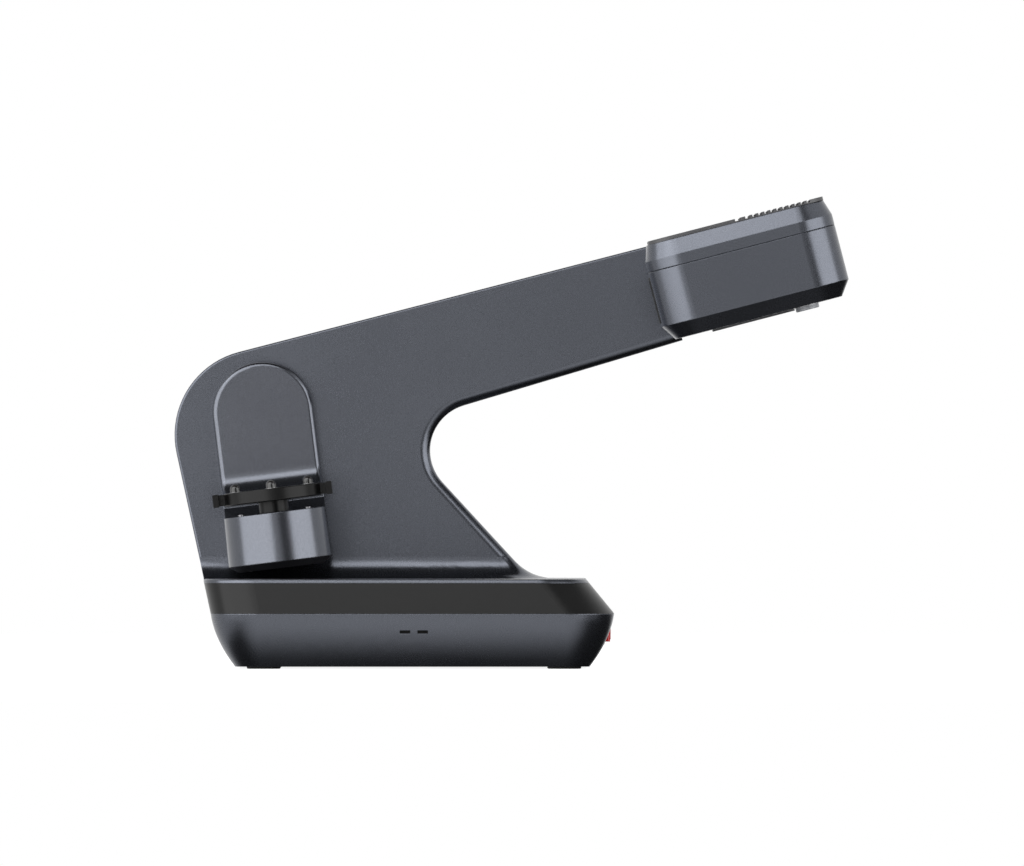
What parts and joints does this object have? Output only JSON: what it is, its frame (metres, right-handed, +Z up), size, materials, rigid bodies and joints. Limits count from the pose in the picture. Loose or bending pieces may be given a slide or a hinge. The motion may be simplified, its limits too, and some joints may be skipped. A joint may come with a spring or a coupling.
{
  "type": "desktop 3d scanner",
  "caption": "Desktop 3D scanner: flat base, leaning column with a long arm and a scan head, and a motor-driven swing arm that carries a turntable.",
  "frame": {"origin": "centre of the footprint of the whole scanner, on the surface it stands on", "axes": "+X from the column towards the scan head (right, seen from the front), +Y to the back, +Z up"},
  "size_m": [0.4205, 0.26, 0.2939],
  "materials": {
    "body_coat": "satin blue-grey coat",
    "band_black": "semi-gloss black",
    "grille_grey": "neutral grey, satin",
    "swing_coat": "satin blue-grey coat on a casting",
    "shelf_cover_black": "dark, satin",
    "plate_black": "black anodised",
    "foot_rubber": "matt",
    "screw_steel": "zinc plated",
    "ball_steel": "polished",
    "shaft_steel": "ground",
    "plate_steel": "black oxide",
    "frame_steel": "grey powder coat",
    "cast_aluminium": "as machined",
    "motor_black": "black body, bright ends",
    "small_motor_steel": "plain",
    "belt_rubber": "matt",
    "gear_white": "acetal",
    "pinion_brass": "machined",
    "board_green": "solder mask",
    "chip_black": "moulded",
    "standoff_brass": "machined",
    "inlet_black": "moulded",
    "usb_steel": "nickel plated",
    "lamp_window": "smoked, unlit",
    "rocker_red": "gloss red",
    "cable_black": "sleeved",
    "window_glass": "smoked",
    "camera_black": "black anodised",
    "lens_glass": "coated",
    "button_grey": "silver-grey",
    "spring_steel": "plain"
  },
  "bodies": {
    "body": {"base_lower_shell": "body_coat", "base_upper_band": "band_black", "body_front_shell": "body_coat", "body_rear_cover": "body_coat", "feet": "foot_rubber", "foot_screws": "screw_steel", "case_screws": "screw_steel", "rear_cover_screws": "screw_steel", "base_plate": "plate_steel", "column_frame": "frame_steel", "frame_screws": "screw_steel", "bearing_housing": "cast_aluminium", "swing_bearings": "shaft_steel", "swing_motor": "motor_black", "drive_screws": "screw_steel", "swing_belt": "belt_rubber", "main_board": "board_green", "board_standoffs": "standoff_brass", "board_components": "chip_black", "connector_panel": "inlet_black", "dc_jack": "inlet_black", "usb_socket": "usb_steel", "indicator_windows": "lamp_window", "indicator_board": "board_green", "switch_housing": "inlet_black", "internal_cable": "cable_black", "head_lower_shell": "body_coat", "head_upper_cover": "body_coat", "head_grille": "grille_grey", "head_window": "window_glass", "head_service_plate": "shelf_cover_black", "head_screws": "screw_steel", "optics_bench": "cast_aluminium", "camera_bodies": "camera_black", "camera_lenses": "camera_black", "projector_lens": "camera_black", "lens_glasses": "lens_glass", "projector_body": "camera_black", "heat_sink": "cast_aluminium", "fan_frame": "inlet_black", "head_board": "board_green", "button_housing": "inlet_black", "button_spring": "spring_steel"},
    "swing": {"swing_arm": "swing_coat", "shelf_cover": "shelf_cover_black", "shelf_screws": "screw_steel", "swing_shaft": "shaft_steel", "swing_pulley": "cast_aluminium", "turntable_bearing": "shaft_steel", "turntable_motor": "small_motor_steel"},
    "swing_drive": {"swing_motor_pulley": "small_motor_steel"},
    "turntable": {"turntable_plate": "plate_black", "locating_balls": "ball_steel", "turntable_shaft": "plate_black", "turntable_gear": "gear_white", "turntable_bolt": "screw_steel"},
    "table_drive": {"turntable_pinion": "pinion_brass"},
    "rocker": {"power_rocker": "rocker_red"},
    "button": {"scan_button": "button_grey"},
    "fan": {"fan_rotor": "inlet_black"}
  },
  "joints": [
    {"name": "swing_tilt", "type": "hinge", "parent": "body", "child": "swing", "pos_m": [-0.1553, 0, 0.1598], "axis": [0, 1, 0], "range_deg": [-30, 100]},
    {"name": "swing_motor_spin", "type": "hinge", "parent": "body", "child": "swing_drive", "pos_m": [-0.1253, 0.071, 0.1038], "axis": [0, 1, 0], "range_deg": [-76, 251]},
    {"name": "table_spin", "type": "hinge", "parent": "swing", "child": "turntable", "pos_m": [-0.14947, -0.032, 0.11236], "axis": [-0.1219, 0, 0.9925], "continuous": true},
    {"name": "table_motor_spin", "type": "hinge", "parent": "swing", "child": "table_drive", "pos_m": [-0.1461, -0.006, 0.08486], "axis": [-0.1219, 0, 0.9925], "continuous": true},
    {"name": "power_rock", "type": "hinge", "parent": "body", "child": "rocker", "pos_m": [0.0548, 0.062, 0.0217], "axis": [0, 0, 1], "range_deg": [-9, 0]},
    {"name": "scan_press", "type": "slide", "parent": "body", "child": "button", "axis": [-0.2504, 0, 0.9681], "range_m": [0, 0.0012], "stiffness_N_per_m": 400, "springref_m": -0.001, "deforming": ["button_spring"]},
    {"name": "fan_spin", "type": "hinge", "parent": "body", "child": "fan", "pos_m": [0.17026, -0.032, 0.27024], "axis": [-0.2504, 0, 0.9681], "continuous": true}
  ],
  "couplings": [
    {"joint": "swing_motor_spin", "follows": "swing_tilt", "ratio": 2.5},
    {"joint": "table_motor_spin", "follows": "table_spin", "ratio": -3.3333}
  ]
}
